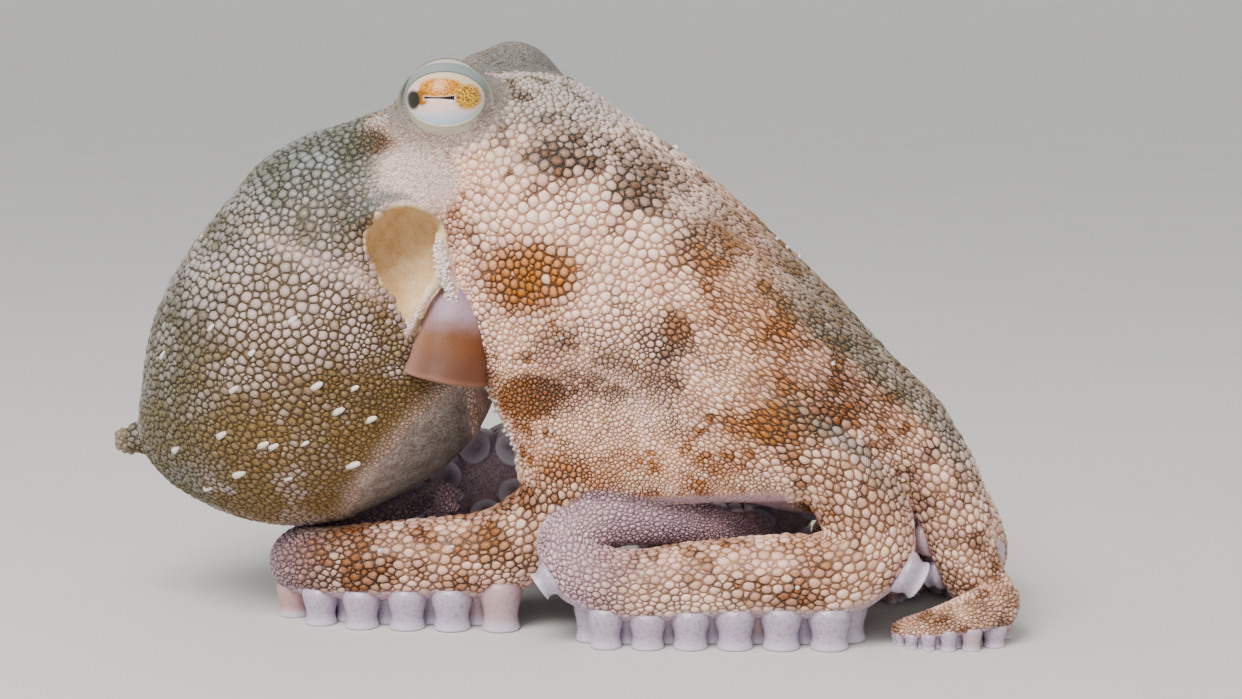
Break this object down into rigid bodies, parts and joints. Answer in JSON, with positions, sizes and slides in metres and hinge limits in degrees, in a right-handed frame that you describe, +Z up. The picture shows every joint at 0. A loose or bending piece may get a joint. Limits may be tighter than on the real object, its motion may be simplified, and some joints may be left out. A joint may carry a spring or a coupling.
{
  "type": "octopus",
  "caption": "Common octopus sitting up on coiled arms, with a hanging bag-shaped mantle, raised eyes, funnel and webbed crown, as a still life-size model.",
  "frame": {"origin": "centre of the bounding box's underside, on the ground the suckers rest on", "axes": "+X from the hanging mantle towards the webbed arms, +Y to the animal's left side, +Z up"},
  "size_m": [0.1671, 0.087, 0.1059],
  "materials": {
    "skin": "moist flesh, pale cobbled skin mottled with brown",
    "funnel_skin": "smooth moist flesh, pinkish brown",
    "eye": "glossy eye with a gold iris and a dark slit pupil"
  },
  "bodies": {
    "root": {"mantle": "skin", "head": "skin", "web": "skin", "funnel": "funnel_skin", "eye_right": "eye", "eye_left": "eye", "arm_r1_base": "skin", "arm_r1_mid": "skin", "arm_r1_tip": "skin", "arm_r2_base": "skin", "arm_r2_mid": "skin", "arm_r2_tip": "skin", "arm_r3_base": "skin", "arm_r3_mid": "skin", "arm_r3_tip": "skin", "arm_r4_base": "skin", "arm_r4_mid": "skin", "arm_r4_tip": "skin", "arm_l1_base": "skin", "arm_l1_mid": "skin", "arm_l1_tip": "skin", "arm_l2_base": "skin", "arm_l2_mid": "skin", "arm_l2_tip": "skin", "arm_l3_base": "skin", "arm_l3_mid": "skin", "arm_l3_tip": "skin", "arm_l4_base": "skin", "arm_l4_mid": "skin", "arm_l4_tip": "skin"}
  },
  "joints": []
}
